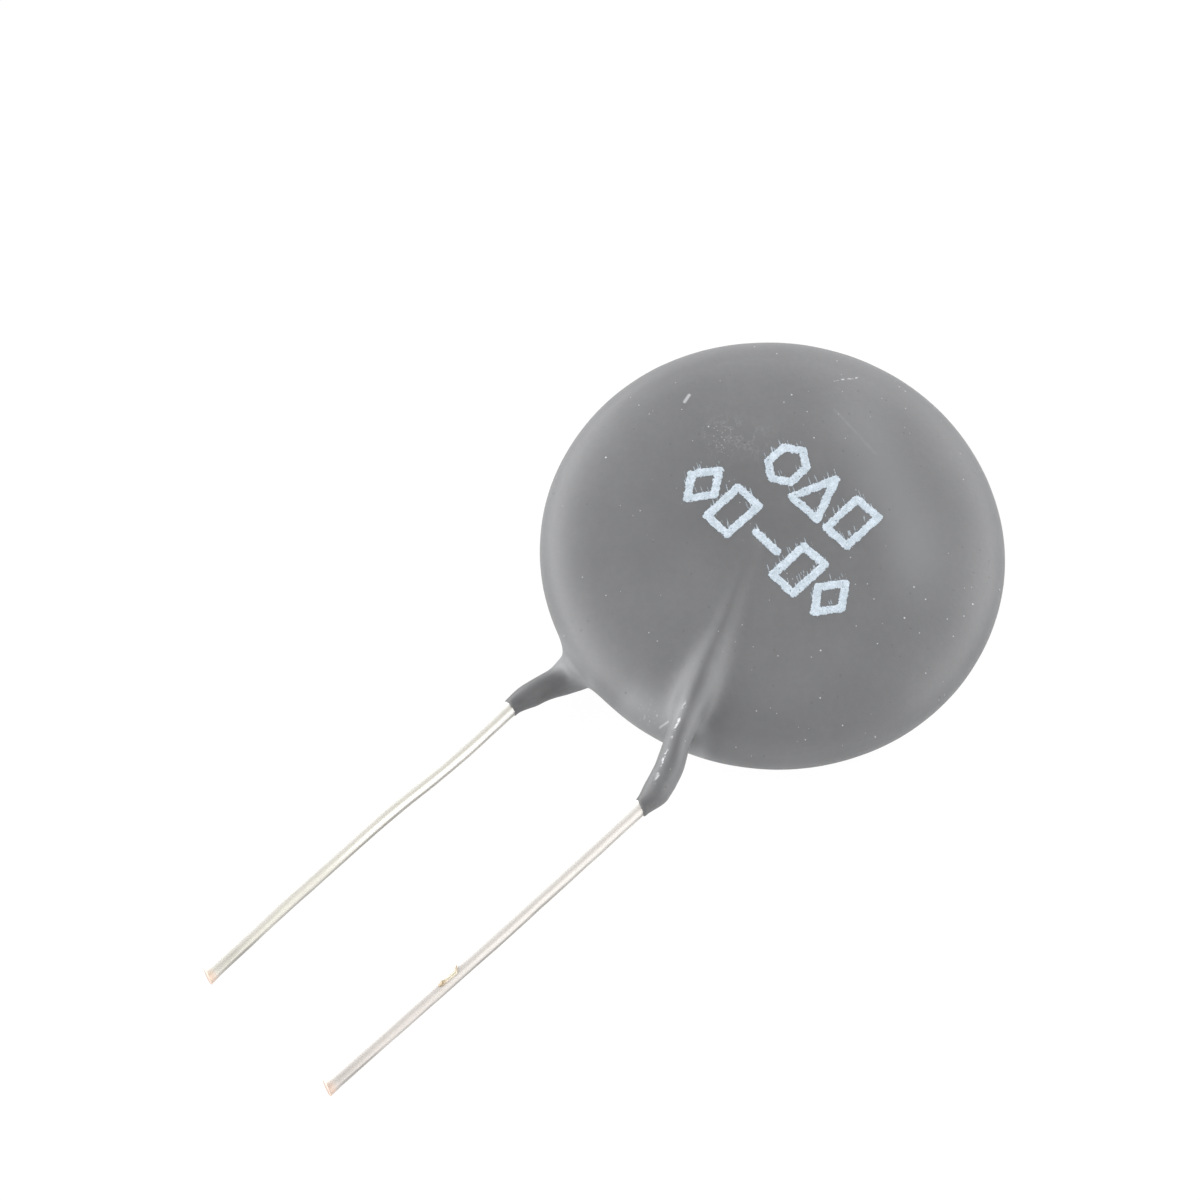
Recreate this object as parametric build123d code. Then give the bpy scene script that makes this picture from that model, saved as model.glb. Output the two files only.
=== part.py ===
from build123d import *
import os
from math import acos, asin, atan2, cos, degrees, hypot, sin

# Power thermistor, in millimetres. A sintered ceramic disc has a silver electrode on each flat, and a
# tinned wire is soldered across each electrode. The whole disc was dipped in resin, which also ran a
# few millimetres down the wires. The part is modelled about the disc: X across, -Y along the wires, Z
# out of the upper face. It is then laid on its back, as it comes to rest.

# Ceramic disc, pressed with a small chamfer round each flat
ceramic_d = 24.5
ceramic_t = 4.0
ceramic_chamfer = 0.3

# Fired silver on each flat, and the bare margin that keeps it off the disc's edge
electrode_t = 0.05
electrode_margin = 0.9

# Round tinned wire, and the solder bead that holds it
wire_d = 1.0
solder_below_wire = 0.1
solder_height = 0.4
solder_width = 2.2
solder_run = 8.5
solder_past_end = 0.7
solder_side_angle = 40

# Resin coat: a shallow dome on each face, a round rim, a skin over each wire and a web beside it
coat_over_edge = 1.75
coat_over_face = 0.9
coat_dome_rise = 0.45
coat_over_wire = 0.35
coat_web_r = 1.1

# Each leg of resin ends in a slanting broken edge
leg_length = 3.9
leg_break_angle = 14

# Where the wires bend: past the ceramic's edge they leave the face, and below the rim they turn straight
wire_past_edge = 0.9
face_bend_r = 6.0
kink_below_rim = 2.4
kink_bend_r = 7.0
kink_depth = 1.35
gentle_bend_r = 60.0

# Bare wire below the legs, and how far its cut end stays off the disc's middle plane
bare_length = 25.1
tip_depth = 0.3

# Ends of the wires on the faces, and their places across the part at the kink and at the cut end
front_start = (-0.55, -0.5)
front_kink_x = 6.47
front_tip_x = 5.81
back_start = (0.0, -0.6)
back_kink_x = -4.2
back_tip_x = -4.1

# Small bends left in the bare wire by handling: share of the way down, and place across the part
front_handling = ((0.50, 6.25),)
back_handling = ((0.24, -4.05), (0.44, -4.32), (0.76, -4.27))

# Worked out from the sizes above
coat_r = ceramic_d / 2 + coat_over_edge
coat_top = ceramic_t / 2 + coat_over_face
coat_rim_r = coat_top - coat_dome_rise
wire_r = wire_d / 2
electrode_top = ceramic_t / 2 + electrode_t
wire_height = electrode_top + solder_below_wire + wire_r
ridge_r = wire_r + coat_over_wire
kink_y = -(coat_r + kink_below_rim)
leg_end_y = -(coat_r + leg_length)
tip_y = leg_end_y - bare_length


def wire_points(side, start, kink_x, handling, tip_x):
    """Corners of a wire's centre line. side is 1 on the upper face and -1 on the lower one."""
    run = Vector(kink_x - start[0], kink_y - start[1])
    along = run.normalized()
    start_at = Vector(*start)
    nearest = start_at - along * start_at.dot(along)
    past_edge = ceramic_d / 2 + wire_past_edge
    leaves = nearest + along * (past_edge ** 2 - nearest.length ** 2) ** 0.5
    points = [
        Vector(start_at.X, start_at.Y, side * wire_height),
        Vector(leaves.X, leaves.Y, side * wire_height),
        Vector(kink_x, kink_y, side * kink_depth),
    ]
    for share, across in handling:
        depth = kink_depth + (tip_depth - kink_depth) * share
        points.append(Vector(across, kink_y + (tip_y - kink_y) * share, side * depth))
    points.append(Vector(tip_x, tip_y, side * tip_depth))
    return points


def rod(points, radius):
    """Round bar along straight runs joined by tangent arcs."""
    bends = [face_bend_r, kink_bend_r] + [gentle_bend_r] * (len(points) - 4)
    path = FilletPolyline(*points, radius=bends)
    section = Plane(path @ 0, z_dir=path % 0) * Circle(radius)
    return sweep(section, path=path)


def coat_pad():
    """The dipped disc: a flat dome on each face that runs tangent into the round rim."""
    rim_centre = coat_r - coat_rim_r
    dome_r = (rim_centre ** 2 + coat_top ** 2 - coat_rim_r ** 2) / (2 * coat_dome_rise)
    meets = asin(rim_centre / (dome_r - coat_rim_r))
    seam = (rim_centre + coat_rim_r * sin(meets), coat_rim_r * cos(meets))
    half_way = (dome_r * sin(meets / 2), coat_top - dome_r + dome_r * cos(meets / 2))
    with BuildPart() as pad:
        with BuildSketch(Plane.XZ):
            with BuildLine():
                ThreePointArc((0, coat_top), half_way, seam)
                ThreePointArc(seam, (coat_r, 0), (seam[0], -seam[1]))
                ThreePointArc((seam[0], -seam[1]), (half_way[0], -half_way[1]), (0, -coat_top))
                Line((0, -coat_top), (0, coat_top))
            make_face()
        revolve(axis=Axis.Z)
    return pad.part


def coat_ridge(points):
    """Resin over one wire, from its end on the face to the slanting broken end of the leg."""
    kink, after = points[2], points[3]
    below = (kink.Y - leg_end_y) / (kink.Y - after.Y)
    leg_end = kink + (after - kink) * below
    past_break = (leg_end - kink).normalized() * ridge_r
    ridge = rod(points[:3] + [leg_end + past_break], ridge_r)
    ridge += Pos(*points[0]) * Sphere(ridge_r)
    below_break = Pos(0, -coat_r, 0) * Box(coat_r, 2 * coat_r, coat_r)
    return ridge - Pos(*leg_end) * Rot(0, 0, leg_break_angle) * below_break


def solder_bead(side, points):
    """Bead with sloping sides along the wire's end, on the electrode."""
    run = points[1] - points[0]
    middle = points[0] + run.normalized() * ((solder_run - solder_past_end) / 2)
    on_electrode = Plane((middle.X, middle.Y, side * electrode_top), x_dir=run, z_dir=(0, 0, side))
    foot = SlotOverall(solder_run + solder_past_end, solder_width)
    return on_electrode * extrude(foot, solder_height, taper=solder_side_angle)


def add_ridge(coat, points):
    """Joins a ridge to the dipped disc, with the web that the wet resin pulled into the corner."""
    ridge = coat_ridge(points)
    joined = coat + ridge
    return fillet(new_edges(coat, ridge, combined=joined), coat_web_r)


def lying_down(points):
    """Line and angle of the roll that lays the part on its lower ridge and the right side of its rim."""
    along = (points[1] - points[0]).normalized()
    sideways = Vector(-along.Y, along.X, 0)
    reach = coat_r - coat_rim_r - points[0].dot(sideways)
    roll = acos((coat_rim_r - ridge_r) / hypot(reach, wire_height)) - atan2(reach, wire_height)
    return Axis(points[0], along), -degrees(roll)


front_points = wire_points(1, front_start, front_kink_x, front_handling, front_tip_x)
back_points = wire_points(-1, back_start, back_kink_x, back_handling, back_tip_x)

pieces = {}
disc = Cylinder(ceramic_d / 2, ceramic_t)
pieces["ceramic_disc"] = chamfer(disc.edges().filter_by(GeomType.CIRCLE), ceramic_chamfer)
silver = Cylinder(ceramic_d / 2 - electrode_margin, electrode_t)
silver_height = (ceramic_t + electrode_t) / 2
pieces["front_electrode"] = Pos(0, 0, silver_height) * silver
pieces["back_electrode"] = Pos(0, 0, -silver_height) * silver
pieces["front_lead"] = rod(front_points, wire_r)
pieces["back_lead"] = rod(back_points, wire_r)
pieces["front_solder"] = solder_bead(1, front_points) - pieces["front_lead"]
pieces["back_solder"] = solder_bead(-1, back_points) - pieces["back_lead"]

coat = add_ridge(add_ridge(coat_pad(), front_points), back_points)
for inner in list(pieces.values()):
    coat = coat - inner
pieces["coating"] = coat

ridge_line, roll = lying_down(back_points)
laid = {name: piece.rotate(ridge_line, roll) for name, piece in pieces.items()}
box = Compound(list(laid.values())).bounding_box()
to_floor = Pos(-box.center().X, -box.center().Y, -box.min.Z)

os.makedirs("parts", exist_ok=True)
for name, piece in laid.items():
    export_step(to_floor * piece, f"parts/{name}.step")
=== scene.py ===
# %% [markdown]
# # A dipped disc thermistor, dressed for its photograph
#
# A power thermistor is a disc of sintered ceramic with a wire soldered across each flat. The finished
# disc is dipped in resin, so one soft grey skin covers the disc, swells over both wires and runs a few
# millimetres down them. The imported CAD model gives every place and size. This lesson gives the part its
# skin, its bright tinned wires, its worn print and its light.
#
# The frame comes first. Its box is kept, because nothing that is made later may be larger. Its box is
# kept, to be printed beside the dressed part's box at the end.

# %% Load the imported model
from math import cos, degrees, radians, sin

import bpy
from mathutils import Matrix, Vector


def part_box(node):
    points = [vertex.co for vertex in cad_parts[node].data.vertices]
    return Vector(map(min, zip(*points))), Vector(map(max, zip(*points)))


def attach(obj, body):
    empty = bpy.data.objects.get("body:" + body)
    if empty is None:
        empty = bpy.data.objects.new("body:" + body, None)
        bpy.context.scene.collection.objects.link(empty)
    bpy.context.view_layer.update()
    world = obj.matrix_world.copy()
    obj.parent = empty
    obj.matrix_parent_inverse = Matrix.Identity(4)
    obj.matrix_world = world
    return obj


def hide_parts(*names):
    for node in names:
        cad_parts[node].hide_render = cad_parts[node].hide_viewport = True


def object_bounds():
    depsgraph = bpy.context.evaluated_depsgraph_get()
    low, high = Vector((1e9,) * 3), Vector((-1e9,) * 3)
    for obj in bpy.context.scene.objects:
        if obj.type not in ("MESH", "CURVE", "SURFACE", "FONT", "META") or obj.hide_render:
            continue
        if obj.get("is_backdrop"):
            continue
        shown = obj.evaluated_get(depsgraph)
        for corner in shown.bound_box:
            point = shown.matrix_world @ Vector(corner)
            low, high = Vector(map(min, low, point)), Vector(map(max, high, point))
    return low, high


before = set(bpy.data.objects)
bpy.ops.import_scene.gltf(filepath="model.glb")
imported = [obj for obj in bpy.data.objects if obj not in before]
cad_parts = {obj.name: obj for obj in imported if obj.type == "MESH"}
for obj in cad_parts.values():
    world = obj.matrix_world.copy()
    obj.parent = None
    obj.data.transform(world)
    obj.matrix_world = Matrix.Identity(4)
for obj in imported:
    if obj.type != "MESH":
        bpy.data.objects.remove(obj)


def add_object(name, data):
    """A new object, linked to the scene."""
    made = bpy.data.objects.new(name, data)
    bpy.context.scene.collection.objects.link(made)
    return made


def in_mm(place):
    """A place in metres, as rounded millimetres for printing."""
    return [round(v * 1000, 3) for v in place]


cad_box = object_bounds()
print("CAD nodes:", sorted(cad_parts))
print("CAD box, mm:", [in_mm(corner) for corner in cad_box])

# %% [markdown]
# ## Working in the disc's own frame
#
# The part lies a little tilted, on its lower wire's ridge and on its rim. Its shapes are far easier to
# write down about the disc itself, in millimetres: X across the face, -Y towards the wires, and Z out
# of the printed face. One matrix, `lay`, turns such a place into the laid part's metres. It is read
# from the CAD: the two silver layers lie on either side of the disc's middle.

# %% Find the disc in the laid model
millimetre = 0.001


def middle_of(node):
    low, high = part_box(node)
    return (low + high) / 2


front_middle, back_middle = middle_of("front_electrode"), middle_of("back_electrode")
disc_middle = (front_middle + back_middle) / 2
turn = Vector((0, 0, 1)).rotation_difference(front_middle - back_middle).to_matrix()
lay = Matrix.Translation(disc_middle) @ turn.to_4x4() @ Matrix.Scale(millimetre, 4)
print("disc's middle, mm:", in_mm(disc_middle))
print("tilt of the face:", round(degrees(Vector((0, 0, 1)).angle(turn.col[2])), 3), "degrees")

# %% [markdown]
# ## The camera
#
# The photographer stood about a third of a metre away and looked down at the face, about 25 degrees off
# its square. The long lens keeps the disc's far and near rims almost the same size. The camera is
# placed by three directions, right, down and forward, because that is how such a view is measured.

# %% Place the camera
camera_at = Vector((87.375, -115.023, 296.902))
camera_right = Vector((0.70980, 0.70381, 0.02890))
camera_down = Vector((0.64572, -0.63373, -0.42595))
camera_forward = Vector((-0.28147, 0.32100, -0.90428))

camera = add_object("camera", bpy.data.cameras.new("camera"))
camera.data.sensor_width = 36
camera.data.lens = 164.93
camera.data.clip_start = 0.01
axes = Matrix((camera_right, -camera_down, -camera_forward)).transposed()
camera.matrix_world = Matrix.Translation(lay @ camera_at) @ (turn @ axes).to_4x4()
bpy.context.scene.camera = camera
print("camera height, mm:", round(camera.matrix_world.translation.z * 1000, 1))

# %% [markdown]
# ## Numbers that nodes work out
#
# A node tree can hold a formula, but a dozen Math nodes are slow to read. The small class below lets
# Python's own signs add them: `a + b` adds an Add node and gives back its output. It serves the shapes,
# the materials and the light.

# %% Write node formulas as Python
def fill(tree, socket, value):
    """Links a field or an output to a socket, or writes a plain value into it."""
    value = getattr(value, "socket", value)
    if isinstance(value, bpy.types.NodeSocket):
        tree.links.new(value, socket)
    else:
        socket.default_value = value


def node(tree, kind, inputs=None, **settings):
    """Adds one node, chooses its options and fills its inputs, named or numbered."""
    made = tree.nodes.new(kind)
    for name, value in settings.items():
        setattr(made, name, value)
    for key, value in (inputs or {}).items():
        fill(tree, made.inputs[key], value)
    return made


class Field:
    """A number that differs from point to point. Signs and calls on it add Math nodes."""

    def __init__(self, tree, socket):
        self.tree, self.socket = tree, socket

    def do(self, operation, *others):
        inputs = dict(enumerate((self,) + others))
        return Field(self.tree, node(self.tree, "ShaderNodeMath", inputs, operation=operation).outputs[0])

    def __add__(self, other):
        return self.do("ADD", other)

    def __sub__(self, other):
        return self.do("SUBTRACT", other)

    def __mul__(self, other):
        return self.do("MULTIPLY", other)

    def __truediv__(self, other):
        return self.do("DIVIDE", other)

    __radd__, __rmul__ = __add__, __mul__

    def __rsub__(self, other):
        return self * -1 + other

    def __rtruediv__(self, other):
        return number(self.tree, other) / self

    def __neg__(self):
        return self * -1

    def step(self, low, high, to_low=0.0, to_high=1.0):
        """Runs smoothly from to_low, where the field is low, to to_high, where it is high."""
        inputs = {"Value": self, "From Min": low, "From Max": high, "To Min": to_low, "To Max": to_high}
        made = node(self.tree, "ShaderNodeMapRange", inputs, interpolation_type="SMOOTHSTEP")
        return Field(self.tree, made.outputs[0])


def number(tree, value):
    """A plain number as a field."""
    made = node(tree, "ShaderNodeValue")
    made.outputs[0].default_value = value
    return Field(tree, made.outputs[0])


def parts_of(tree, vector):
    """The X, Y and Z of a vector, as three fields."""
    made = node(tree, "ShaderNodeSeparateXYZ", {0: vector})
    return [Field(tree, output) for output in made.outputs]


def vector_of(tree, x=0.0, y=0.0, z=0.0):
    return node(tree, "ShaderNodeCombineXYZ", {0: x, 1: y, 2: z}).outputs[0]


def vector_math(tree, operation, *values, scale=None):
    """A Vector Math node's vector output, or its number for a length, distance or dot product."""
    made = node(tree, "ShaderNodeVectorMath", dict(enumerate(values)), operation=operation)
    if scale is not None:
        fill(tree, made.inputs["Scale"], scale)
    if operation in ("LENGTH", "DISTANCE", "DOT_PRODUCT"):
        return Field(tree, made.outputs["Value"])
    return made.outputs["Vector"]


def length_of(tree, x, y):
    return vector_math(tree, "LENGTH", vector_of(tree, x, y))


def noise(tree, place, scale, detail=2.0, roughness=0.5, seed=0.0):
    """Smooth random values about 0, from about -0.5 to 0.5."""
    inputs = {"Vector": place, "W": seed, "Scale": scale, "Detail": detail, "Roughness": roughness}
    made = node(tree, "ShaderNodeTexNoise", inputs, noise_dimensions="4D")
    return Field(tree, made.outputs[0]) - 0.5


print("node formulas ready")

# %% [markdown]
# ## The light
#
# The part was photographed on bright white, as in a light tent: panels glow at its left and right, the
# walls glow low all round, and the roof, where the camera looks in, is dark. So the grey skin is darkest
# where it faces up. Lamps could stand for the panels, but the world can hold them as soft patches of
# glow, with no hard edge for the satin skin to show. Each patch has a name, a height above the floor, a
# bearing as the camera sees it (0 is to the right of the picture, 90 at its bottom) and a strength.

# %% Light the studio
glow_patches = [
    ("right panel", 32, 0, 2.45), ("left panel", 32, 180, 2.5), ("far right panel", 32, 315, 1.75),
    ("near left panel", 32, 135, 1.5), ("right wall", 6, 0, 2.4), ("left wall", 6, 180, 2.9),
    ("far left wall", 6, 225, 4.1), ("far right wall", 6, 315, 2.2), ("far wall", 6, 270, 1.5),
    ("near wall", 6, 90, 1.0), ("near right wall", 6, 45, 1.1), ("near left wall", 6, 135, 1.2),
]
patch_reach = radians(38)
plain_white = (1, 1, 1, 1)
right_of_picture = Vector((camera_right.x, camera_right.y, 0)).normalized()
bottom_of_picture = Vector((camera_down.x, camera_down.y, 0)).normalized()


def from_bearing(height, bearing):
    """The laid part's direction towards a height and a bearing of the picture, both in degrees."""
    level = right_of_picture * cos(radians(bearing)) + bottom_of_picture * sin(radians(bearing))
    return turn @ (level.normalized() * cos(radians(height)) + Vector((0, 0, sin(radians(height)))))


def studio_world():
    world = bpy.data.worlds.new("studio")
    bpy.context.scene.world = world
    world.use_nodes = True
    tree = world.node_tree
    tree.nodes.clear()
    looking = node(tree, "ShaderNodeTexCoord").outputs["Generated"]
    strength = number(tree, 0.0)
    for _, height, bearing, level in glow_patches:
        towards = vector_math(tree, "DOT_PRODUCT", looking, from_bearing(height, bearing))
        strength = strength + towards.step(cos(patch_reach), 1.0, 0.0, level)
    seen = node(tree, "ShaderNodeLightPath").outputs["Is Camera Ray"]
    glow = node(tree, "ShaderNodeBackground", {"Color": plain_white, "Strength": strength})
    white = node(tree, "ShaderNodeBackground", {"Color": plain_white, "Strength": 1.0})
    mixed = node(tree, "ShaderNodeMixShader", {0: seen, 1: glow.outputs[0], 2: white.outputs[0]})
    node(tree, "ShaderNodeOutputWorld", {"Surface": mixed.outputs[0]})


studio_world()
bpy.context.scene.view_settings.view_transform = "Standard"
print("patches of glow:", len(glow_patches))

# %% [markdown]
# ## The white floor
#
# The paper is evenly white, yet the part keeps a soft shadow. A matt floor alone turns grey where little
# light falls. So for the camera's rays, and partly for reflections, this floor is a plain white glow,
# and the rest is matt white. Cycles doesn't aim rays at the glow as at a lamp, because that fills the
# wires close above it with bright specks.

# %% Lay the white floor
floor_glow = 0.95
floor_mirrored = 0.5
floor_strength = 1.02
floor_matt = (0.9, 0.9, 0.9, 1)
floor_half = 0.45


def floor_finish():
    material = bpy.data.materials.new("white_floor")
    material.use_nodes = True
    material.cycles.emission_sampling = "NONE"
    tree = material.node_tree
    tree.nodes.clear()
    path = node(tree, "ShaderNodeLightPath").outputs
    mirrored = Field(tree, path["Is Glossy Ray"]).do("MAXIMUM", path["Is Transmission Ray"])
    share = Field(tree, path["Is Camera Ray"]) * floor_glow + mirrored * floor_mirrored
    matt = node(tree, "ShaderNodeBsdfDiffuse", {"Color": floor_matt})
    glow = node(tree, "ShaderNodeEmission", {"Color": plain_white, "Strength": floor_strength})
    mixed = node(tree, "ShaderNodeMixShader", {0: share, 1: matt.outputs[0], 2: glow.outputs[0]})
    node(tree, "ShaderNodeOutputMaterial", {"Surface": mixed.outputs[0]})
    return material


corners = [(x * floor_half, y * floor_half, 0) for x, y in ((-1, -1), (1, -1), (1, 1), (-1, 1))]
floor_mesh = bpy.data.meshes.new("floor")
floor_mesh.from_pydata(corners, [], [(0, 1, 2, 3)])
floor_mesh.materials.append(floor_finish())
add_object("floor", floor_mesh)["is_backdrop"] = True
print("floor, m:", 2 * floor_half)

# %% [markdown]
# ## Where the wires run
#
# Each wire is a chain of straight runs with a rounded bend at every corner, as in the CAD. Its corners
# and the radius of each bend are listed once, and both the skin's ridge and the wire follow them. A
# chain becomes a mesh of bare edges that carries each bend's radius, for a Fillet Curve to round.

# %% List the corners of both wires
front_corners = [(-0.11, -1.5, 2.46), (4.66, -12.30, 2.55), (6.47, -16.4, 1.35),
                 (6.25, -29.7, 0.825), (5.81, -43.0, 0.3)]
back_corners = [(0.0, -0.6, -2.65), (-3.23, -12.75, -2.65), (-4.2, -16.4, -1.35), (-4.05, -22.78, -1.10),
                (-4.32, -28.10, -0.89), (-4.27, -36.62, -0.55), (-4.1, -43.0, -0.3)]
bend_radii = [0.0, 6.0, 7.0] + [60.0] * 4
leg_corners = 4


def chains(name, corner_lists):
    """A mesh of bare edges, one chain for each list of corners, with the bend radius on each point."""
    points, edges, radii = [], [], []
    for corner_list in corner_lists:
        first = len(points)
        points += corner_list
        edges += [(first + i, first + i + 1) for i in range(len(corner_list) - 1)]
        radii += bend_radii[:len(corner_list)]
    mesh = bpy.data.meshes.new(name)
    mesh.from_pydata(points, edges, [])
    mesh.attributes.new("bend", "FLOAT", "POINT").data.foreach_set("value", radii)
    return mesh


print("corners:", len(front_corners), "and", len(back_corners))

# %% [markdown]
# ## Trees that grow meshes
#
# Every Geometry Nodes tree here is used and then left behind: its result is turned into a plain mesh,
# which is what the export needs. `start_tree` names the inputs, `grow` sets them by their sockets'
# identifiers, and `lay_down` puts the mesh where the laid part is.

# %% Build a tree and keep only its mesh
def start_tree(name, numbers, **inputs):
    """A new tree with a geometry input and output, the named numbers and the other inputs."""
    inputs = dict.fromkeys(numbers.split(), "Float") | inputs
    tree = bpy.data.node_groups.new(name, "GeometryNodeTree")
    faces = tree.interface
    faces.new_socket("Geometry", in_out="INPUT", socket_type="NodeSocketGeometry")
    for label, kind in inputs.items():
        faces.new_socket(label.replace("_", " "), in_out="INPUT", socket_type="NodeSocket" + kind)
    faces.new_socket("Geometry", in_out="OUTPUT", socket_type="NodeSocketGeometry")
    given = node(tree, "NodeGroupInput").outputs
    result = node(tree, "NodeGroupOutput").inputs[0]
    fields = {label: Field(tree, given[label.replace("_", " ")]) for label in inputs}
    return tree, given[0], fields, result


def grow(name, mesh, tree, **values):
    """Runs a tree on a mesh and returns the plain mesh that comes out."""
    helper = add_object(name, mesh)
    modifier = helper.modifiers.new(tree.name, "NODES")
    modifier.node_group = tree
    for item in tree.interface.items_tree:
        label = item.name.replace(" ", "_")
        if item.in_out == "INPUT" and label in values:
            modifier[item.identifier] = values[label]
    graph = bpy.context.evaluated_depsgraph_get()
    grown = bpy.data.meshes.new_from_object(helper.evaluated_get(graph), depsgraph=graph)
    helper.modifiers.remove(modifier)
    bpy.data.objects.remove(helper)
    grown.name = name
    return grown


def lay_down(name, mesh, replaces=()):
    """Puts a mesh of the disc's frame where the laid part is, as a finished piece."""
    mesh.transform(lay)
    mesh.update()
    piece = add_object(name, mesh)
    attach(piece, "root")
    if replaces:
        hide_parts(*replaces)
    mesh.calc_loop_triangles()
    low = in_mm(min(v.co[i] for v in mesh.vertices) for i in range(3))
    high = in_mm(max(v.co[i] for v in mesh.vertices) for i in range(3))
    print(name, "triangles:", len(mesh.loop_triangles), "box, mm:", low, high)


print("tree helpers ready")

# %% [markdown]
# ## Steps that come back in every tree
#
# Trees round a chain, keep a number on every point, push points along their normals and hand a mesh
# over. A step that is written once can't differ from tree to tree.

# %% Write the shared steps
bend_points = 24


def store(tree, mesh, name, value, kind="FLOAT"):
    """Keeps a value on every point under a name, for a later step or for a material."""
    inputs = {"Geometry": mesh, "Name": name, "Value": value}
    return node(tree, "GeometryNodeStoreNamedAttribute", inputs, data_type=kind).outputs[0]


def stored(tree, name, kind="FLOAT"):
    return node(tree, "GeometryNodeInputNamedAttribute", {"Name": name}, data_type=kind).outputs[0]


def rounded_chain(tree, chain, spacing):
    """Rounds a chain's corners by their own radii, and cuts the line into short even steps."""
    line = node(tree, "GeometryNodeMeshToCurve", {0: chain}).outputs[0]
    rounding = {"Curve": line, "Count": bend_points, "Radius": stored(tree, "bend")}
    line = node(tree, "GeometryNodeFilletCurve", rounding, mode="POLY").outputs[0]
    even = {"Curve": line, "Length": spacing}
    return node(tree, "GeometryNodeResampleCurve", even, mode="LENGTH").outputs[0]


def from_lines(tree, lines, at):
    """The distance from a place to the nearest of a mesh's bare edges."""
    inputs = {"Geometry": lines, "Sample Position": at}
    near = node(tree, "GeometryNodeProximity", inputs, target_element="EDGES")
    return Field(tree, near.outputs["Distance"])


def push_out(tree, mesh, distance):
    """Moves every point along its normal."""
    outwards = node(tree, "GeometryNodeInputNormal").outputs[0]
    offset = vector_math(tree, "SCALE", outwards, scale=distance)
    return node(tree, "GeometryNodeSetPosition", {"Geometry": mesh, "Offset": offset}).outputs[0]


def hand_over(tree, mesh, given, result):
    """Ends a tree: one real mesh with its finish."""
    mesh = node(tree, "GeometryNodeRealizeInstances", {"Geometry": mesh}).outputs[0]
    mesh = node(tree, "GeometryNodeSetMaterial", {"Geometry": mesh, "Material": given["Finish"]}).outputs[0]
    fill(tree, result, mesh)
    return tree


print("points in a bend:", bend_points)

# %% [markdown]
# ## A material's own millimetres
#
# Every pattern here is tied to the disc: a scratch lies at a place on the face, and the copper tint at
# a wire's cut end. A Mapping node turns Object coordinates back into the disc's millimetres, so that
# those places can be written as they were measured.

# %% Start a material in millimetres
to_disc_at, to_disc_turn, to_disc_scale = lay.inverted().decompose()


def start_material(name):
    """A material with its Principled BSDF, and the place of each point in the disc's millimetres."""
    material = bpy.data.materials.new(name)
    material.use_nodes = True
    tree = material.node_tree
    shader = tree.nodes["Principled BSDF"]
    here = node(tree, "ShaderNodeTexCoord").outputs["Object"]
    mapped = node(tree, "ShaderNodeMapping", {"Vector": here, "Location": to_disc_at,
                                              "Rotation": to_disc_turn.to_euler(), "Scale": to_disc_scale})
    return material, tree, shader, mapped.outputs[0]


def blend(tree, share, first, second):
    made = node(tree, "ShaderNodeMix", {0: share, 6: first, 7: second}, data_type="RGBA")
    return made.outputs[2]


def bump(tree, height, micrometres):
    made = node(tree, "ShaderNodeBump", {"Height": height, "Distance": micrometres * 1e-6, "Strength": 1.0})
    return made.outputs[0]


def dress(tree, shader, **values):
    """Fills the finish's own inputs."""
    for name, value in values.items():
        fill(tree, shader.inputs[name.replace("_", " ")], value)


def kept_number(tree, name):
    """A number that a shape's tree kept on every point, read by the material."""
    return Field(tree, node(tree, "ShaderNodeAttribute", attribute_name=name).outputs["Fac"])


print("millimetres per metre:", round(to_disc_scale.x))

# %% [markdown]
# ## Dots and lines by formula
#
# Dust, scratches and the crest over the front wire each have a place on the face. Painted on an image,
# they would need a flat layout and blur close up. A formula stays sharp: a scratch is the distance to a
# line, and dots come from a Voronoi texture where only a few cells are chosen.

# %% Write dots and lines as formulas
def distance_to_line(tree, place, start, end):
    """How far a point is from a straight line between two places on the face, in millimetres."""
    start, end = Vector((*start, 0)), Vector((*end, 0))
    along = end - start
    from_start = vector_math(tree, "SUBTRACT", place, start)
    share = vector_math(tree, "DOT_PRODUCT", from_start, along / along.length_squared)
    share = share.do("MAXIMUM", 0.0).do("MINIMUM", 1.0)
    nearest = vector_math(tree, "SCALE", along, scale=share)
    return vector_math(tree, "LENGTH", vector_math(tree, "SUBTRACT", from_start, nearest))


def soft_line(distance, width):
    """1 on a line, fading to 0 over about its width."""
    return (distance * distance * (-1.0 / width ** 2)).do("EXPONENT")


def dots(tree, flat, per_mm, chosen, radius, seed):
    """1 inside small scattered dots. Only a share of the Voronoi cells has one."""
    shifted = vector_math(tree, "ADD", flat, (seed, seed * 2, 0.0))
    cells = node(tree, "ShaderNodeTexVoronoi", {"Vector": shifted, "Scale": per_mm}, voronoi_dimensions="2D")
    pick = parts_of(tree, cells.outputs["Color"])
    size = pick[1].step(0.0, 1.0, radius * 0.4, radius) * per_mm
    inside = 1.0 - (Field(tree, cells.outputs["Distance"]) / size).step(0.5, 1.0)
    return inside * pick[0].do("GREATER_THAN", 1.0 - chosen)


def across_wire(x, y):
    return x * 0.915 + y * 0.404


def from_crest(tree, x, y):
    """How far a point of the face is, sideways, from the wandering crest over the front wire."""
    wander = noise(tree, vector_of(tree, x, y), 0.5, 2.0, seed=6.0) * 0.25
    lean = (-y).step(0.5, 6.5, 0.42, 0.06) - (-y).step(12.5, 15.0) * 0.2
    return across_wire(x, y) + 0.705 + wander + lean


print("dots and lines ready")
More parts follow.
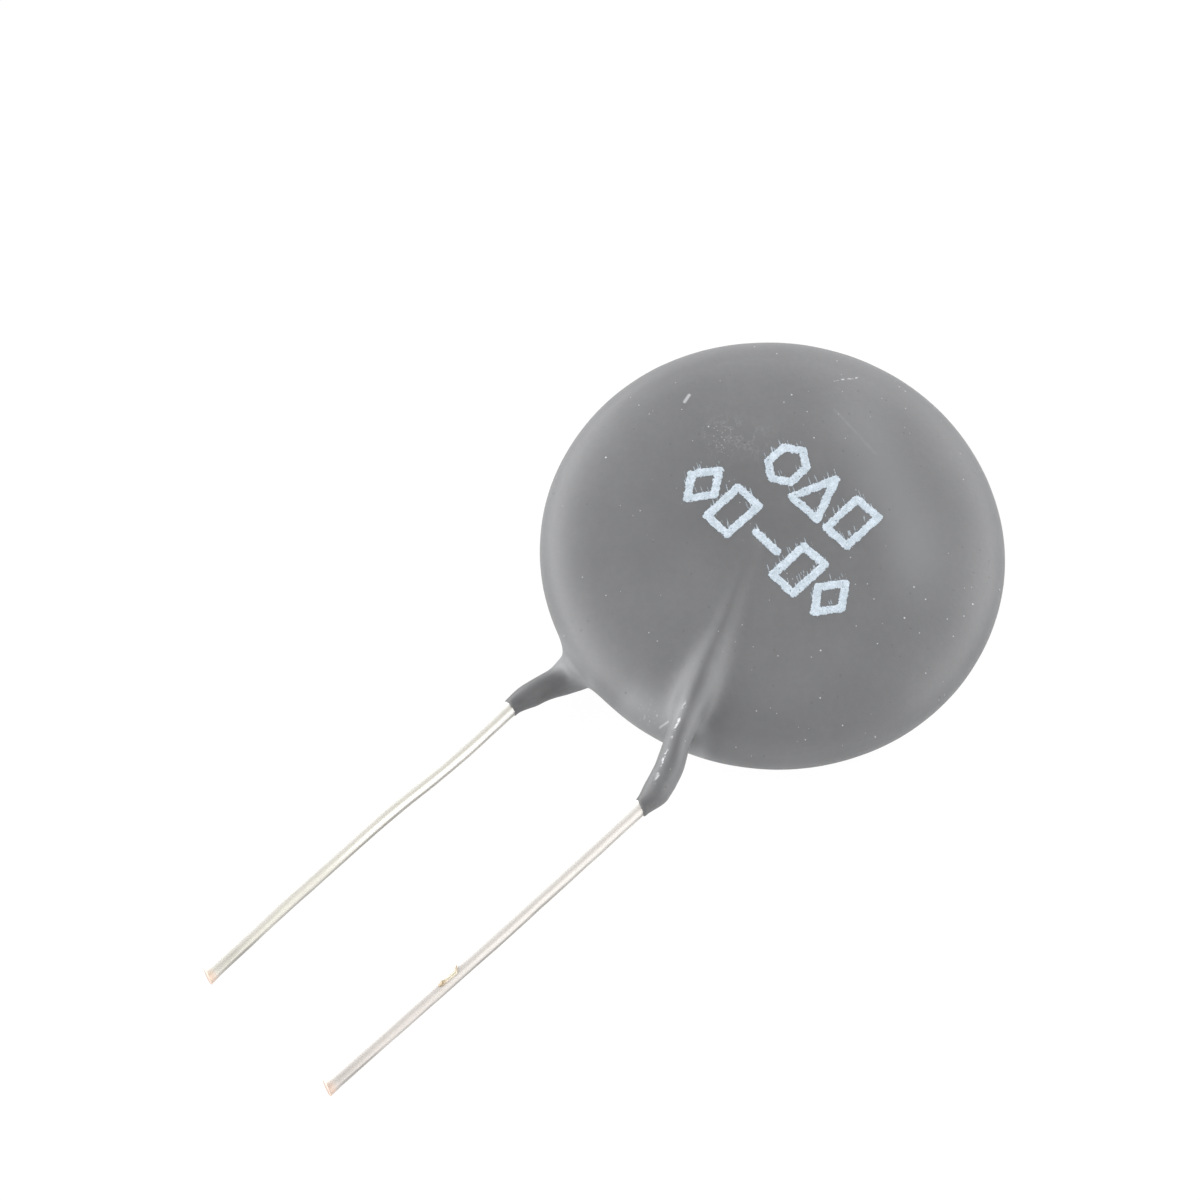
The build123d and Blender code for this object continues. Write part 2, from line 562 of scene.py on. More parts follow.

# %% [markdown]
# ## The resin's greys, with painted light and shade
#
# The skin is a filled resin: neutral grey, and never quite even. Slow clouds come from the dip and a fine grain
# from the filler, so two noises blend two greys. A paler band across the upper face is a painted highlight, and
# pale patches near the rim, beside the legs, are painted light where the webs lie in shade. Painted shade
# darkens the middle and the crest over the front wire, and the legs' ends are darker too. Each is one more
# blend.

# %% Mix the greys of the resin
skin_grey = (0.134, 0.136, 0.140, 1)
skin_pale = (0.170, 0.172, 0.175, 1)
skin_dark = (0.085, 0.085, 0.088, 1)
skin_painted_light = (0.245, 0.249, 0.255, 1)

# Painted light beside the legs: the ends of a line on the face, how far it spreads, and its share
painted_light_patches = [
    ((-4.8, -13.9), (-1.9, -14.3), 0.7, 0.60),
    ((1.4, -13.4), (4.2, -12.6), 0.9, 0.55),
    ((5.8, -12.1), (6.6, -13.0), 0.55, 0.75),
    ((6.6, -13.0), (8.2, -12.3), 0.5, 0.75),
]


def on_face(tree, place):
    """X, Y, the place without its height, and 1 on the printed side."""
    x, y, z = parts_of(tree, place)
    return x, y, vector_of(tree, x, y), z.step(0.3, 0.9)


def resin_greys(tree, place, clouds, grain):
    x, y, flat, on_front = on_face(tree, place)
    colour = blend(tree, (clouds * 1.1 + grain * 0.6 + 0.35).step(0.0, 1.0), skin_grey, skin_pale)
    # A paler band across the upper face is a painted highlight
    over = x * 0.41 + y * 0.912 + clouds * 1.5
    highlight_band = over.step(4.6, 7.2) * (1.0 - over.step(7.4, 10.5)) * x.step(-6.0, 0.0) * (1.0 - x.step(6.0, 11.0))
    painted_light = highlight_band * on_front * 0.45
    # Pale patches near the rim, beside the legs, are painted light where the webs lie in shade
    for start, end, width, share in painted_light_patches:
        painted_light = painted_light.do("MAXIMUM", soft_line(distance_to_line(tree, flat, start, end), width) * share)
    colour = blend(tree, painted_light, colour, skin_painted_light)
    out = vector_math(tree, "LENGTH", flat)
    left_leg = 1.0 - x.step(-0.5, 0.5)
    # Painted shade over the middle; the legs' ends are darker too
    thick = out.step(1.0, 10.0, 0.40, 0.0).do("MAXIMUM", (-y).step(16.0, 17.7) * 0.5)
    thick = thick.do("MAXIMUM", (-y).step(14.9, 16.2) * left_leg * 0.3)
    colour = blend(tree, thick, colour, skin_dark)
    # Painted shade along the crest over the front wire
    crest = soft_line(from_crest(tree, x, y), 0.17) * (-y).step(2.0, 6.0) * (1.0 - (-y).step(14.5, 16.8))
    return blend(tree, crest * on_front * (grain * 1.6 + 0.8) * 0.25, colour, skin_dark)


print("pale patches:", len(painted_light_patches))

# %% [markdown]
# ## Dust, scratches and wet glints
#
# Handling left dust, a scratch and a nick, each at its own place on the face, and there is a short pale dash. A
# pale streak across the upper face is a painted highlight. To the left of the crest, near the rim, the resin
# glints. A lower roughness would need a light in just the right place, so the glints are a painted highlight: a
# broken pale line.

# %% Scatter dust, scratches and glints
dust_and_highlight_white = (0.62, 0.63, 0.65, 1)
scratch_ends = (-4.80, 9.85), (-3.90, 11.35)
dash_ends = (-9.97, 2.48), (-10.11, 3.02)
nick_ends = (3.55, -13.30), (3.78, -12.90)
highlight_streak_ends = (-3.17, 8.49), (0.54, 8.08)
haze_ends = (-7.0, 2.7), (-5.3, 3.4)
leg_cluster_ends = (2.5, -13.3), (2.8, -13.1)
haze_cluster_ends = (-6.9, 2.2), (-6.2, 1.9)


def pale_marks(tree, place, grain, fine):
    _, _, flat, on_front = on_face(tree, place)

    def near(ends):
        return distance_to_line(tree, flat, *ends)

    specks = dots(tree, flat, 1.0, 0.045, 0.07, 7.7) * 0.75
    specks = specks.do("MAXIMUM", dots(tree, flat, 2.1, 0.035, 0.055, 5.2) * 0.5)
    clusters = soft_line(near(leg_cluster_ends), 0.45).do("MAXIMUM", soft_line(near(haze_cluster_ends), 0.7))
    clumps = clusters * (grain + 0.35).step(0.2, 0.6)
    specks = specks.do("MAXIMUM", clumps * dots(tree, flat, 5.5, 0.6, 0.08, 2.4) * 0.6)
    hazes = noise(tree, flat, 1.3, 2.0, 0.6, seed=9.0).do("ABSOLUTE").step(0.0, 0.03, 1.0, 0.0)
    hazes = hazes * soft_line(near(haze_ends), 1.1) * (fine + 0.6)
    scratch = 1.0 - near(scratch_ends).step(0.02, 0.09)
    scratch = scratch * (noise(tree, place, 5.0, seed=4.0) + 0.5).step(0.45, 0.62)
    dash = 1.0 - near(dash_ends).step(0.03, 0.15)
    nick = 1.0 - near(nick_ends).step(0.01, 0.08)
    # A pale streak across the upper face: painted highlight
    streak_highlight = soft_line(near(highlight_streak_ends), 0.09) * (grain * 1.5 + 0.6)
    pale = specks.do("MAXIMUM", scratch * 0.6).do("MAXIMUM", dash * 0.5).do("MAXIMUM", nick * 0.35)
    return pale.do("MAXIMUM", streak_highlight * 0.07).do("MAXIMUM", hazes * 0.17) * on_front


def wet_glints(tree, place, grain):
    x, y, flat, on_front = on_face(tree, place)
    stretched = vector_math(tree, "MULTIPLY", flat, (1.0, 0.6, 1.0))
    wet = noise(tree, stretched, 3.2, 2.0, 0.7, seed=8.0).step(0.02, 0.14)
    # Painted highlight: a broken pale line of glints
    line = soft_line(across_wire(x, y) + 1.01 + grain * 0.12, 0.085)
    return line * wet * (-y).step(11.3, 12.6) * (1.0 - (-y).step(15.9, 16.7)) * on_front


print("dust:", dust_and_highlight_white[:3])

# %% [markdown]
# ## The grey resin skin: its finish
#
# The finish joins the greys, the pits and the pale marks. The skin is satin, because the filler's grain
# scatters light, so the noises that tint it also set its roughness and a bump of a hundredth of a
# millimetre.

# %% Mix the skin's finish
skin_relief = 11.0


def skin_finish():
    material, tree, shader, place = start_material("grey_resin_skin")
    _, _, flat, on_front = on_face(tree, place)
    clouds = noise(tree, place, 0.16, 3.0, 0.55, seed=1.0)
    grain = noise(tree, place, 2.6, 4.0, 0.6, seed=2.0)
    fine = noise(tree, place, 9.0, 2.0, 0.6, seed=3.0)
    pits = dots(tree, flat, 1.3, 0.12, 0.09, 3.1) * on_front
    # The pits are dents; their darker colour is painted shade in them
    colour = blend(tree, pits * 0.4, resin_greys(tree, place, clouds, grain), skin_dark)
    # Dust, scratches and painted highlights share one pale colour
    pale = pale_marks(tree, place, grain, fine).do("MAXIMUM", wet_glints(tree, place, grain))
    colour = blend(tree, pale, colour, dust_and_highlight_white)
    dress(tree, shader, Base_Color=colour, Specular_IOR_Level=0.5,
          Roughness=0.46 + clouds * 0.10 + grain * 0.08,
          Normal=bump(tree, grain + fine * 0.35 - pits * 0.6, skin_relief))
    return material


skin_material = skin_finish()
print("finish:", skin_material.name)

# %% [markdown]
# ## The skin: its shape
#
# Wet resin has no edges: disc, ridges and legs run into one another. Joining such forms face by face is
# hard, but distances do it in one line. One formula gives every point's distance to the dipped disc,
# another its distance to the coated wires, and a smooth minimum pulls the two into a soft web.
#
# The disc comes first. Its back is a shallow dome that runs into a round rim. The printed face is
# fuller, because the resin drew back from the ceramic's edge and left a rounder shoulder.

# %% Describe the dipped disc
far_rim_bulge = 0.07
skin_inset = 0.015


def back_distance(tree, given, out, up):
    """A shallow dome that is tangent to a round rim."""
    crown, rim_radius = given["Crown"], given["Rim_radius"]
    rim_at = given["Disc_radius"] - rim_radius
    rise = crown - rim_radius
    dome_radius = (rim_at * rim_at + crown * crown - rim_radius * rim_radius) / (rise * 2.0)
    dome = length_of(tree, out, up + dome_radius - crown) - dome_radius
    rim = length_of(tree, out - rim_at, up) - rim_radius
    past_dome = (out - rim_at) - up * (rim_at / (dome_radius - rim_radius))
    on_rim = past_dome.do("GREATER_THAN", 0.0)
    return rim * on_rim + dome * (1.0 - on_rim)


def front_distance(tree, given, out, z):
    """The fuller face: its level over its steepness."""
    power, full = given["Shoulder"], given["Full_crown"]
    reach = (out / given["Disc_radius"]).do("POWER", power)
    level = reach + (z / full) * (z / full) - 1.0
    steep_out = reach / out.do("MAXIMUM", 0.01) * power
    steep_up = z / (full * full) * 2.0
    steep = length_of(tree, steep_out, steep_up).do("MAXIMUM", 0.25)
    return level / steep


def disc_distance(tree, given, x, y, z, out, place):
    in_front = z.do("GREATER_THAN", 0.0)
    front = front_distance(tree, given, out, z)
    back = back_distance(tree, given, out, z.do("ABSOLUTE"))
    seed = given["Seed"]
    waves = noise(tree, place, 0.13, 1.0, seed=seed) * 0.10
    waves = waves + noise(tree, place, 0.45, 1.0, seed=seed + 1.0) * 0.03
    far_rim = (y * 0.70 - x * 0.71).step(5.0, 12.0) * z.step(0.1, 0.8) * out.step(12.0, 13.2) * far_rim_bulge
    return front * in_front + back * (1.0 - in_front) + skin_inset - waves - far_rim


print("far rim's bulge, mm:", far_rim_bulge)

# %% [markdown]
# ## The wires under the skin
#
# A Geometry Proximity node gives the distance to the wires' lines. Less a radius, that is a coated
# wire, and the radius swells where the resin ran down the leg. Each leg ends in its own slanting,
# ragged break. On the printed face the wire is only a low swelling with a narrow crest, which fades in
# below the print, so there the disc's own distance is lowered a little.

# %% Describe the ridge and the legs
front_leg_x, back_leg_x = 6.45, -4.2
front_slant, back_slant = -0.31, -0.09
front_break, back_break = -0.08, -0.17
break_softness = 0.12
line_step = 0.1


def either(is_front, front, back):
    """One number at the front leg and another at the back leg."""
    return is_front * (front - back) + back


def ridge_swelling(tree, given, x, y, z, out):
    beside = from_crest(tree, x, y)
    widest = beside.step(-0.4, 0.4, -0.40, -1.0)
    swell = (beside * beside * widest).do("EXPONENT") * given["Swelling"]
    swell = swell + soft_line(beside, 0.5) * given["Crest"]
    shown = (-y).step(0.3, 1.9) * (0.80 + out.step(7.0, 12.0) * 0.95) * (1.0 - out.step(11.5, 13.4))
    return swell * shown * z.step(0.6, 1.4)


def legs_distance(tree, given, chain, x, y, z, out, place):
    is_front, in_front = x.do("GREATER_THAN", 1.1), z.do("GREATER_THAN", 0.0)
    leg_middle = (-y).step(13.4, 14.8) * (1.0 - (-y).step(16.4, 17.9))
    aside = is_front * ((-y).step(13.0, 14.5) * 0.05 + leg_middle * 0.05) + (1.0 - is_front) * leg_middle * 0.15
    sample = vector_math(tree, "SUBTRACT", place, vector_of(tree, aside))
    lines = node(tree, "GeometryNodeCurveToMesh", {"Curve": rounded_chain(tree, chain, line_step)}).outputs[0]
    seed = given["Seed"]
    lumps = noise(tree, place, 0.55, 1.0, seed=seed + 2.0) * 0.08
    lumps = lumps + noise(tree, place, 1.7, 1.0, seed=seed + 3.0) * 0.03
    on_disc = out.step(7.0, 11.5, 0.40, 0.75) * in_front
    on_disc = on_disc + (1.0 - in_front) * (0.60 + out.step(5.0, 11.5) * 0.15)
    grown = (on_disc + (-y).step(12.0, 14.8) * 0.24 - (-y).step(16.4, 18.0) * 0.36
             - (1.0 - is_front) * leg_middle * 0.10)
    tube = from_lines(tree, lines, sample) - (given["Ridge_radius"] * grown + lumps)
    across = x - either(is_front, front_leg_x, back_leg_x)
    ragged = noise(tree, place, 1.6, 2.0, seed=seed + 4.0) * 0.25
    past_break = (given["Leg_end"] - y + across * either(is_front, front_slant, back_slant)
                  + either(is_front, front_break, back_break) + ragged)
    return tube.do("SMOOTH_MAX", past_break, break_softness)


print("slant of the breaks:", front_slant, back_slant)

# %% [markdown]
# ## Drawing the skin's surface
#
# Volume Cube fills a block of space with the joined formula, and Volume to Mesh draws the surface where
# it is zero. Three small steps then move each point onto the surface, which takes away the steps of the
# grid. A finer grid would do so too, but with many more faces.

# %% Grow the skin
block_low, block_high = (-14.7, -19.2, -4.1), (14.7, 14.7, 4.1)
steps_onto_surface = 3


def skin_tree():
    tree, chain, given, result = start_tree(
        "dipped_skin", "Disc_radius Crown Full_crown Shoulder Rim_radius Ridge_radius Swelling Crest Web "
        "Leg_end Grid_step Seed", Finish="Material")
    place = node(tree, "GeometryNodeInputPosition").outputs[0]
    x, y, z = parts_of(tree, place)
    out = length_of(tree, x, y)
    disc = disc_distance(tree, given, x, y, z, out, place) - ridge_swelling(tree, given, x, y, z, out)
    legs = legs_distance(tree, given, chain, x, y, z, out, place)
    back_leg = (-y).step(12.3, 13.8) * (-z).step(0.0, 0.6)
    web = given["Web"] * (0.25 + out.step(3.0, 11.5) * 0.75 + back_leg * 0.6)
    skin = disc.do("SMOOTH_MIN", legs, web)
    cells = {"Resolution " + axis: (high - low) / given["Grid_step"]
             for axis, low, high in zip("XYZ", block_low, block_high)}
    block = node(tree, "GeometryNodeVolumeCube", {
        "Density": -skin, "Background": -1.0, "Min": block_low, "Max": block_high, **cells})
    mesh = node(tree, "GeometryNodeVolumeToMesh", {"Volume": block.outputs[0], "Threshold": 0.0},
                resolution_mode="GRID").outputs[0]
    for _ in range(steps_onto_surface):
        mesh = push_out(tree, mesh, -skin)
    mesh = node(tree, "GeometryNodeSetShadeSmooth", {"Geometry": mesh}).outputs[0]
    return hand_over(tree, mesh, given, result)


skin_mesh = grow(
    "skin", chains("legs", [front_corners[:leg_corners], back_corners[:leg_corners]]), skin_tree(),
    Disc_radius=14.0, Crown=2.9, Full_crown=2.905, Shoulder=5.0, Rim_radius=2.45, Ridge_radius=0.85,
    Swelling=0.075, Crest=0.06, Web=2.2, Leg_end=-17.9, Grid_step=0.16, Seed=5.0, Finish=skin_material)
skin_for_ink = skin_mesh.copy()
lay_down("skin", skin_mesh, ["coating"])

# %% [markdown]
# ## The tinned wires: their finish
#
# The wires are copper-clad, drawn through a die and dipped in tin. Drawing leaves long fine flutes, so bright
# and dark streaks run with the wire. One side has a painted highlight, white and bright. The other side has
# painted shade: dull, with a dark line, and underneath is painted shade too, grey. The sheared end shows a
# little copper. One blend follows another, and what guides them is kept on the mesh: where a point is round and
# along the wire, and which way it faces.

# %% Mix the tinned finish
tin_warm = (0.80, 0.775, 0.735, 1)
tin_cool = (0.73, 0.72, 0.70, 1)
tin_green = (0.75, 0.745, 0.665, 1)
tin_pink = (0.76, 0.70, 0.69, 1)
tin_white_and_highlight = (0.96, 0.955, 0.93, 1)
tin_dull_and_shade = (0.57, 0.53, 0.49, 1)
tin_olive_shade = (0.55, 0.54, 0.465, 1)
tin_dark_and_shade = (0.27, 0.255, 0.24, 1)
tin_shade = (0.27, 0.26, 0.25, 1)
tin_cream = (0.66, 0.60, 0.48, 1)
tin_torn = (0.42, 0.34, 0.24, 1)
copper = (0.80, 0.47, 0.30, 1)
tin_metal = 0.4
tin_relief = 12.0


def tin_finish():
    material, tree, shader, place = start_material("tinned_wire")
    x, y, _ = parts_of(tree, place)
    wire_place = node(tree, "ShaderNodeAttribute", attribute_name="wire_place").outputs["Vector"]
    streak_at = vector_math(tree, "MULTIPLY", wire_place, (1.0, 1.0, 0.04))
    streaks = noise(tree, streak_at, 2.4, 2.0, 0.6, seed=1.0)
    patches = noise(tree, vector_math(tree, "MULTIPLY", wire_place, (0.4, 0.4, 0.3)), 1.0, 2.0, seed=3.0)
    colour = blend(tree, (streaks * 2.0 + 0.4).step(0.0, 1.0), tin_warm, tin_cool)
    on_back = 1.0 - x.step(-1.0, 1.0)
    colour = blend(tree, on_back * (patches + 0.55).step(0.0, 1.0) * 0.8, colour, tin_green)
    lower_front = (1.0 - on_back) * (-y).step(27.0, 34.0) * (patches + 0.6).step(0.0, 1.0)
    colour = blend(tree, lower_front * 0.8, colour, tin_pink)

    # Painted light and shade by the way each point faces: a dark shade line, a white highlight side and a dull
    # shaded side
    flank = kept_number(tree, "flank")
    line = flank.step(0.50, 0.80) * (1.0 - flank.step(0.93, 0.99))
    line = line * (patches * 1.2 + streaks + 0.7).step(0.1, 0.9)
    colour = blend(tree, line * 0.9, colour, tin_dark_and_shade)
    shaded_side = flank.step(-0.75, 0.15)
    colour = blend(tree, (1.0 - shaded_side) * 0.6, colour, tin_white_and_highlight)
    dull = blend(tree, on_back * (patches + 0.7).step(0.0, 1.0), tin_dull_and_shade, tin_olive_shade)
    colour = blend(tree, shaded_side * (1.0 - line) * 0.75, colour, dull)

    # Dark and bright grooves, and duller tin near the skin
    broad = noise(tree, streak_at, 1.0, 1.0, 0.5, seed=5.0)
    bright = on_back * (-y).step(22.0, 34.0, 0.60, 0.25) + 0.15
    grooves = broad.step(0.02, 0.14) * (patches * 1.6 + 0.7).step(0.0, 1.0) * (1.0 + on_back * 0.4)
    colour = blend(tree, grooves * 0.33, colour, tin_dark_and_shade)
    colour = blend(tree, (-broad).step(0.03, 0.16) * bright, colour, tin_white_and_highlight)
    roots = (1.0 - (-y).step(19.0, 30.0)) * (streaks * 3.0 + 0.3).step(0.2, 0.8)
    colour = blend(tree, roots * 0.35, colour, tin_dull_and_shade)

    # Painted shade underneath, the torn burr and the cut end
    colour = blend(tree, kept_number(tree, "under").step(-0.05, 0.25) * 0.9, colour, tin_shade)
    brown = ((-y).step(33.4, 33.75) + (1.0 - (-y).step(32.6, 32.9))).do("MINIMUM", 1.0)
    torn = blend(tree, brown, tin_cream, tin_torn)
    colour = blend(tree, kept_number(tree, "torn"), colour, torn)
    colour = blend(tree, (-y).step(42.2, 42.8) * 0.35, colour, copper)
    dress(tree, shader, Base_Color=colour, Metallic=tin_metal, Roughness=0.48 + streaks * 0.3,
          Normal=bump(tree, streaks, tin_relief))
    return material


tin_material = tin_finish()
print("finish:", tin_material.name)

# %% [markdown]
# ## The tinned wires: their shape
#
# A circle is swept along each rounded chain. Every point keeps its place round and along the wire, so
# that flutes and streaks follow each bend. Flutes and dents are noise along the normals. Under the low
# ridge the wire is a little thinner, so that the skin covers it. The shears' slanting cut draws what is
# past a plane back to it, and the end flares.

# %% Draw the wires
round_points = 32
cut_at = -42.78
wire_inset = 0.02
sharp_bend = 0.8
facings = {"flank": (0.953, -0.017, -0.300), "under": (-0.297, 0.0, -0.955)}


def wire_tree():
    tree, chain, given, result = start_tree(
        "drawn_wire", "Wire_radius Step Flute Cut_angle Seed", Finish="Material")
    length = node(tree, "GeometryNodeSplineParameter").outputs["Length"]
    line = store(tree, rounded_chain(tree, chain, given["Step"]), "along", length)
    circle = node(tree, "GeometryNodeCurvePrimitiveCircle", {"Resolution": round_points, "Radius": 1.0})
    place = node(tree, "GeometryNodeInputPosition").outputs[0]
    circle = store(tree, circle.outputs[0], "around", place, "FLOAT_VECTOR")
    size = vector_of(tree, given["Wire_radius"], given["Wire_radius"], 1.0)
    circle = node(tree, "GeometryNodeTransform", {"Geometry": circle, "Scale": size}).outputs[0]
    swept = {"Curve": line, "Profile Curve": circle, "Fill Caps": True}
    mesh = node(tree, "GeometryNodeCurveToMesh", swept).outputs[0]
    around_x, around_y, _ = parts_of(tree, stored(tree, "around", "FLOAT_VECTOR"))
    wire_place = vector_of(tree, around_x, around_y, stored(tree, "along"))
    mesh = store(tree, mesh, "wire_place", wire_place, "FLOAT_VECTOR")

    # Flutes and dents
    slow = vector_math(tree, "MULTIPLY", wire_place, (1.0, 1.0, 0.05))
    flutes = noise(tree, slow, 1.6, 2.0, seed=given["Seed"]) * given["Flute"]
    dent_at = vector_math(tree, "MULTIPLY", wire_place, (0.7, 0.7, 0.5))
    dents = noise(tree, dent_at, 1.0, 1.0, seed=given["Seed"] + 1.0) * 0.04
    _, y, z = parts_of(tree, place)
    flare = (-y).step(42.1, 42.8) * 0.03
    under_ridge = z.step(1.7, 2.0) * (-y).step(10.5, 12.0, 0.10, 0.0)
    mesh = push_out(tree, mesh, flutes + dents - wire_inset + flare - under_ridge)
    outwards = node(tree, "GeometryNodeInputNormal").outputs[0]
    # Which way each point faces, kept for the finish's painted light and shade
    for label, direction in facings.items():
        mesh = store(tree, mesh, label, vector_math(tree, "DOT_PRODUCT", outwards, direction))

    # The slanting cut
    past = (cut_at - y) + around_x * given["Cut_angle"] * given["Wire_radius"]
    back = vector_of(tree, 0.0, past.do("MAXIMUM", 0.0), 0.0)
    mesh = node(tree, "GeometryNodeSetPosition", {"Geometry": mesh, "Offset": back}).outputs[0]
    bend = Field(tree, node(tree, "GeometryNodeInputMeshEdgeAngle").outputs["Unsigned Angle"])
    is_smooth = {"Geometry": mesh, "Shade Smooth": bend.do("LESS_THAN", sharp_bend)}
    mesh = node(tree, "GeometryNodeSetShadeSmooth", is_smooth, domain="EDGE").outputs[0]
    return hand_over(tree, mesh, given, result)


print("points round a wire:", round_points)

# %% [markdown]
# ## The torn burr
#
# A small shred of tin stands off the front wire, where it was nicked. It could be sculpted, but a thin
# tube with a radius on each corner, roughened by noise, needs only a few nodes. The number `torn` on its
# points tells the finish to show the cream and brown of the tear.

# %% Draw the torn burr
burr_corners = [(6.09, -34.15, 1.08), (6.14, -33.82, 1.17), (6.17, -33.50, 1.19), (6.19, -33.10, 1.20),
                (6.20, -32.82, 1.20), (5.90, -32.48, 1.32)]
burr_radii = [0.04, 0.18, 0.10, 0.11, 0.11, 0.015]
burr_step, burr_points = 0.05, 12


def burr_tree():
    tree, chain, given, result = start_tree("torn_burr", "Roughness Seed", Finish="Material")
    line = node(tree, "GeometryNodeMeshToCurve", {0: chain}).outputs[0]
    even = {"Curve": line, "Length": burr_step}
    line = node(tree, "GeometryNodeResampleCurve", even, mode="LENGTH").outputs[0]
    circle = node(tree, "GeometryNodeCurvePrimitiveCircle", {"Resolution": burr_points, "Radius": 1.0})
    mesh = node(tree, "GeometryNodeCurveToMesh", {
        "Curve": line, "Profile Curve": circle.outputs[0], "Scale": stored(tree, "thick"), "Fill Caps": True})
    place = node(tree, "GeometryNodeInputPosition").outputs[0]
    rough = noise(tree, place, 3.0, 2.0, 0.6, seed=given["Seed"]) * given["Roughness"]
    mesh = store(tree, push_out(tree, mesh.outputs[0], rough), "torn", 1.0)
    mesh = node(tree, "GeometryNodeSetShadeSmooth", {"Geometry": mesh}).outputs[0]
    return hand_over(tree, mesh, given, result)


burr_line = bpy.data.meshes.new("burr")
burr_line.from_pydata(burr_corners, [(i, i + 1) for i in range(len(burr_corners) - 1)], [])
burr_line.attributes.new("thick", "FLOAT", "POINT").data.foreach_set("value", burr_radii)
burr_mesh = grow("front_wire_burr", burr_line, burr_tree(), Roughness=0.12, Seed=4.0, Finish=tin_material)
lay_down("front_wire_burr", burr_mesh)

# %% [markdown]
# ## Two wires from one tree
#
# Both wires were cut from one reel, so one tree draws them. Only their corners and their seeds differ.

# %% Grow both wires
drawn_wire = wire_tree()
for name, corner_list, seed in (("front_wire", front_corners, 2.0), ("back_wire", back_corners, 9.0)):
    wire_mesh = grow(name, chains(name, [corner_list]), drawn_wire, Wire_radius=0.5, Step=0.12,
                     Flute=0.05, Cut_angle=0.35, Seed=seed, Finish=tin_material)
    lay_down(name, wire_mesh, [name.replace("wire", "lead")])

# %% [markdown]
# ## The worn print: its finish
#
# A pad pressed two rows of pale marks on the face: plain outlines and a dash. The ink is matt and
# mottled, because it dried on a grainy skin. Where the film is thin, the grey shows through.

# %% Mix the ink
ink_pale = (0.38, 0.445, 0.50, 1)
ink_bright = (0.58, 0.65, 0.72, 1)
ink_thin = (0.24, 0.27, 0.30, 1)
ink_relief = 10.0


def ink_finish():
    material, tree, shader, place = start_material("pale_print")
    mottle = noise(tree, place, 3.0, 3.0, 0.6, seed=1.0)
    grains = noise(tree, place, 11.0, 2.0, 0.7, seed=2.0)
    colour = blend(tree, (mottle + grains * 1.3).step(-0.25, 0.35), ink_pale, ink_bright)
    colour = blend(tree, (-grains).step(0.10, 0.22) * 0.8, colour, ink_thin)
    colour = blend(tree, (1.0 - kept_number(tree, "solid")) * 0.6, colour, ink_thin)
    dress(tree, shader, Base_Color=colour, Roughness=0.6, Normal=bump(tree, grains, ink_relief))
    return material


ink_material = ink_finish()
print("finish:", ink_material.name)

# %% [markdown]
# ## The strokes of the print
#
# Each mark is a ring of bare edges. A regular outline is worked out from its number of sides and
# stretched to a width and height, so each mark is one line of a list.

# %% Draw the marks
mark_height = 2.7
upper_row, lower_row = 3.72, -0.82


def outline(sides, centre, width, height, first_angle=90.0):
    """The corners of a regular outline, stretched to a width and height."""
    angles = [radians(first_angle + 360 * i / sides) for i in range(sides)]
    raw = [(cos(a), sin(a)) for a in angles]
    low_x, high_x = min(p[0] for p in raw), max(p[0] for p in raw)
    low_y, high_y = min(p[1] for p in raw), max(p[1] for p in raw)
    return [(centre[0] + ((p[0] - low_x) / (high_x - low_x) - 0.5) * width,
             centre[1] + ((p[1] - low_y) / (high_y - low_y) - 0.5) * height, 0.0) for p in raw]


closed_marks = [
    outline(6, (-2.58, upper_row), 1.9, mark_height),
    outline(3, (0.13, upper_row), 2.1, mark_height),
    outline(4, (2.80, upper_row), 1.7, mark_height, 45.0),
    outline(4, (-5.21, lower_row), 1.9, mark_height),
    outline(4, (-2.73, lower_row), 1.7, mark_height, 45.0),
    outline(4, (2.73, lower_row), 1.7, mark_height, 45.0),
    outline(4, (5.30, lower_row), 1.9, mark_height),
]
dash = [(-0.75, lower_row - 0.06, 0.0), (1.0, lower_row - 0.06, 0.0)]


def marks_mesh():
    points, edges = [], []
    for mark in closed_marks:
        first = len(points)
        points += mark
        edges += [(first + i, first + (i + 1) % len(mark)) for i in range(len(mark))]
    edges.append((len(points), len(points) + 1))
    points += dash
    mesh = bpy.data.meshes.new("marks")
    mesh.from_pydata(points, edges, [])
    return mesh


marks = add_object("marks", marks_mesh())
print("marks:", len(closed_marks) + 1)

# %% [markdown]
# ## The film of ink
#
# The print could be a colour on the skin, but a film with real body catches the light at its edge. A
# fine grid is laid over the face, only its squares near a stroke are kept, and Raycast drops them onto
# the skin. Noise roughens the edges, raises the film unevenly and opens pinholes. The pad also pulled
# fine hairs off the strokes: a point is on a hair if, moved back along it, it meets a stroke.

# %% Press the ink onto the skin
print_size, print_middle = (15.0, 9.0), (0.0, 1.5, 0.0)
hair_x, hair_y = 0.873, -0.488
ray_from, ray_length = 8.0, 10.0


